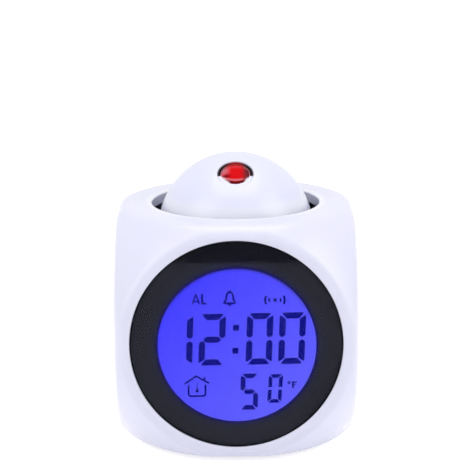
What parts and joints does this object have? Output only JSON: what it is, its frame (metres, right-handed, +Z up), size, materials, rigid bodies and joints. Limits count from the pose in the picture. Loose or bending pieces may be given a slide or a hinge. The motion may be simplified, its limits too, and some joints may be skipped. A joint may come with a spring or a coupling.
{
  "type": "projection alarm clock",
  "caption": "Softened cube alarm clock with a round backlit segment display in front and a tilting projector ball set in its top.",
  "frame": {"origin": "on the table under the middle of the case", "axes": "+Z up, -Y out of the display, +X to the viewer's right when the display is faced"},
  "size_m": [0.08, 0.0808, 0.097],
  "materials": {
    "white_plastic": "glossy white ABS with a faint blue cast",
    "white_inner_plastic": "plain white moulding",
    "grey_plastic": "satin dark grey moulding",
    "grey_key_plastic": "satin grey keys",
    "black_plastic": "satin black",
    "black_resin": "cured epoxy",
    "black_print": "gloss black print behind the window",
    "clear_plastic": "clear polished window",
    "guide_plastic": "clear acrylic light guide",
    "lcd_blue": "backlit blue segment display",
    "lcd_dark": "dark segment display",
    "led_body": "light emitting diodes",
    "red_led": "red diode",
    "red_lens": "polished red lens",
    "clear_glass": "clear lens",
    "circuit_board": "green solder mask",
    "dark_rubber": "silicone rubber",
    "foot_rubber": "soft grey rubber",
    "steel": "zinc plated",
    "bright_metal": "bright tin",
    "nickel_plate": "nickel plated spring steel",
    "cell_jacket": "plain dark jacket"
  },
  "bodies": {
    "case": {"front_case": "white_plastic", "rear_case": "white_plastic", "case_screws": "steel", "rubber_feet": "foot_rubber", "display_window": "clear_plastic", "window_mask": "black_print", "lcd_glass": "lcd_blue", "lcd_frame": "white_inner_plastic", "light_guide": "guide_plastic", "backlight_leds": "led_body", "zebra_strips": "dark_rubber", "main_board": "circuit_board", "board_screws": "steel", "controller_chip": "black_resin", "clock_crystal": "bright_metal", "board_capacitors": "black_plastic", "thermistor": "black_resin", "battery_cell_1": "cell_jacket", "battery_cell_2": "cell_jacket", "battery_cell_3": "cell_jacket", "battery_contact_plates": "nickel_plate", "battery_contact_springs": "nickel_plate", "button_board": "circuit_board", "button_board_screws": "steel", "tact_switches": "black_plastic", "projection_switch_base": "bright_metal", "buzzer": "black_plastic", "spring_carrier": "grey_plastic", "carrier_screws": "steel", "cradle_springs": "steel", "snooze_board": "circuit_board", "snooze_dome": "dark_rubber"},
    "door": {"battery_door": "white_plastic"},
    "projection_switch": {"projection_switch_knob": "grey_key_plastic"},
    "cradle": {"head_cradle": "grey_plastic", "friction_washers": "dark_rubber"},
    "projector": {"ball_front_shell": "white_plastic", "ball_rear_shell": "white_plastic", "ball_screws": "steel", "lens_funnel": "black_plastic", "lens_ring": "white_plastic", "projection_lens": "red_lens", "lens_barrel": "black_plastic", "condenser_lens": "clear_glass", "projection_lcd": "lcd_dark", "projection_led": "red_led", "projector_board": "circuit_board"},
    "mode_button": {"mode_key": "grey_key_plastic", "mode_plunger": "black_plastic"},
    "alarm_button": {"alarm_key": "grey_key_plastic", "alarm_plunger": "black_plastic"},
    "down_button": {"down_key": "grey_key_plastic", "down_plunger": "black_plastic"},
    "up_button": {"up_key": "grey_key_plastic", "up_plunger": "black_plastic"}
  },
  "joints": [
    {"name": "cradle_press", "type": "slide", "parent": "case", "child": "cradle", "axis": [0, 0, -1], "range_m": [0, 0.0012], "stiffness_N_per_m": 800, "springref_m": -0.002, "deforming": ["cradle_springs", "snooze_dome"]},
    {"name": "ball_tilt", "type": "hinge", "parent": "cradle", "child": "projector", "pos_m": [0, 0, 0.0707], "axis": [1, 0, 0], "range_deg": [-80, 20]},
    {"name": "battery_door_hinge", "type": "hinge", "parent": "case", "child": "door", "pos_m": [0, 0.03905, 0.01825], "axis": [1, 0, 0], "range_deg": [-100, 0]},
    {"name": "projection_switch_slide", "type": "slide", "parent": "case", "child": "projection_switch", "axis": [1, 0, 0], "range_m": [0, 0.004]},
    {"name": "mode_key_press", "type": "slide", "parent": "case", "child": "mode_button", "axis": [0, -1, 0], "range_m": [0, 0.0005], "stiffness_N_per_m": 400},
    {"name": "alarm_key_press", "type": "slide", "parent": "case", "child": "alarm_button", "axis": [0, -1, 0], "range_m": [0, 0.0005], "stiffness_N_per_m": 400},
    {"name": "down_key_press", "type": "slide", "parent": "case", "child": "down_button", "axis": [0, -1, 0], "range_m": [0, 0.0005], "stiffness_N_per_m": 400},
    {"name": "up_key_press", "type": "slide", "parent": "case", "child": "up_button", "axis": [0, -1, 0], "range_m": [0, 0.0005], "stiffness_N_per_m": 400}
  ]
}
